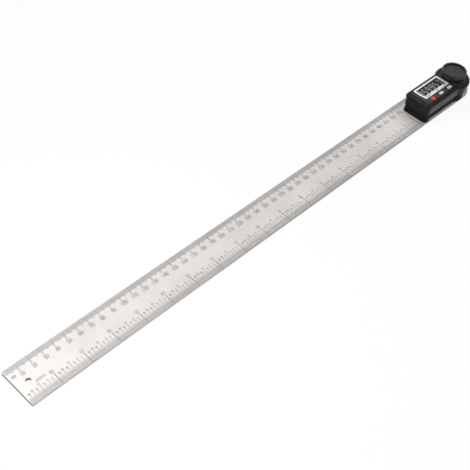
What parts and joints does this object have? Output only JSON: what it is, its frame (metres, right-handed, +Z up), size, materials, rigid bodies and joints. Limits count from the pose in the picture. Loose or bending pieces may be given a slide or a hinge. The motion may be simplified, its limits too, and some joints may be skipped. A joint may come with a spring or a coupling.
{
  "type": "angle finder with arms",
  "caption": "Two long steel rules joined at a pivot, with a digital reading head, a clamping knob and a battery drawer, for measuring and marking angles.",
  "frame": {"origin": "on the pivot axis, in the underside of the lower blade", "axes": "+X from the free ends of the folded blades towards the pivot, +Z up through the knob, +Y away from the person who reads the display"},
  "size_m": [0.5162, 0.0385, 0.0292],
  "materials": {
    "blade_steel": "brushed along the blade",
    "white_plastic": "smooth",
    "hub_steel": "turned",
    "bolt_steel": "turned",
    "bush_brass": "turned",
    "circuit_board": "satin solder mask",
    "black_plastic": "finely textured moulding",
    "bezel_silver": "satin silver plating",
    "clear_lens": "clear",
    "display_grey": "dark liquid-crystal glass",
    "contact_rubber": "layered elastomer",
    "red_button": "soft satin",
    "grey_button": "soft satin",
    "spring_steel": "plated",
    "component_black": "moulded",
    "cell_steel": "plated"
  },
  "bodies": {
    "lower_arm": {"lower_blade": "blade_steel", "slip_washer": "white_plastic", "pivot_hub": "hub_steel", "pivot_bolt": "bolt_steel", "encoder_rotor": "circuit_board"},
    "head": {"upper_blade": "blade_steel", "pivot_bush": "bush_brass", "top_bush": "bush_brass", "encoder_stator": "circuit_board", "base_case": "black_plastic", "top_shell": "black_plastic", "face_plate": "black_plastic", "case_screws": "bolt_steel", "display_frame": "bezel_silver", "display_window": "clear_lens", "display_glass": "display_grey", "contact_strips": "contact_rubber", "switch_domes": "spring_steel", "main_board": "circuit_board", "board_screws": "bolt_steel", "board_link": "black_plastic", "board_components": "component_black", "battery_contact_plus": "spring_steel", "battery_contact_minus": "spring_steel"},
    "clamp": {"clamp_washer": "bolt_steel"},
    "knob": {"knob_body": "black_plastic", "knob_insert": "bush_brass", "knob_cap": "black_plastic"},
    "power": {"power_button": "red_button"},
    "hold": {"hold_button": "grey_button"},
    "zero": {"zero_button": "grey_button"},
    "battery_drawer": {"battery_tray": "black_plastic", "coin_cell": "cell_steel"}
  },
  "joints": [
    {"name": "arm_hinge", "type": "hinge", "parent": "lower_arm", "child": "head", "pos_m": [0, 0, 0], "axis": [0, 0, 1], "continuous": true},
    {"name": "clamp_lift", "type": "slide", "parent": "lower_arm", "child": "clamp", "axis": [0, 0, 1], "range_m": [0, 0.0007]},
    {"name": "knob_turn", "type": "hinge", "parent": "clamp", "child": "knob", "pos_m": [0, 0, 0.0255], "axis": [0, 0, 1], "range_deg": [0, 360]},
    {"name": "power_press", "type": "slide", "parent": "head", "child": "power", "axis": [0, 0, -1], "range_m": [0, 0.0005], "stiffness_N_per_m": 1500},
    {"name": "hold_press", "type": "slide", "parent": "head", "child": "hold", "axis": [0, 0, -1], "range_m": [0, 0.0005], "stiffness_N_per_m": 1500},
    {"name": "zero_press", "type": "slide", "parent": "head", "child": "zero", "axis": [0, 0, -1], "range_m": [0, 0.0005], "stiffness_N_per_m": 1500},
    {"name": "tray_slide", "type": "slide", "parent": "head", "child": "battery_drawer", "axis": [0, 1, 0], "range_m": [0, 0.022]}
  ],
  "couplings": [
    {"joint": "clamp_lift", "follows": "knob_turn", "m_per_rad": 0.0001114}
  ]
}
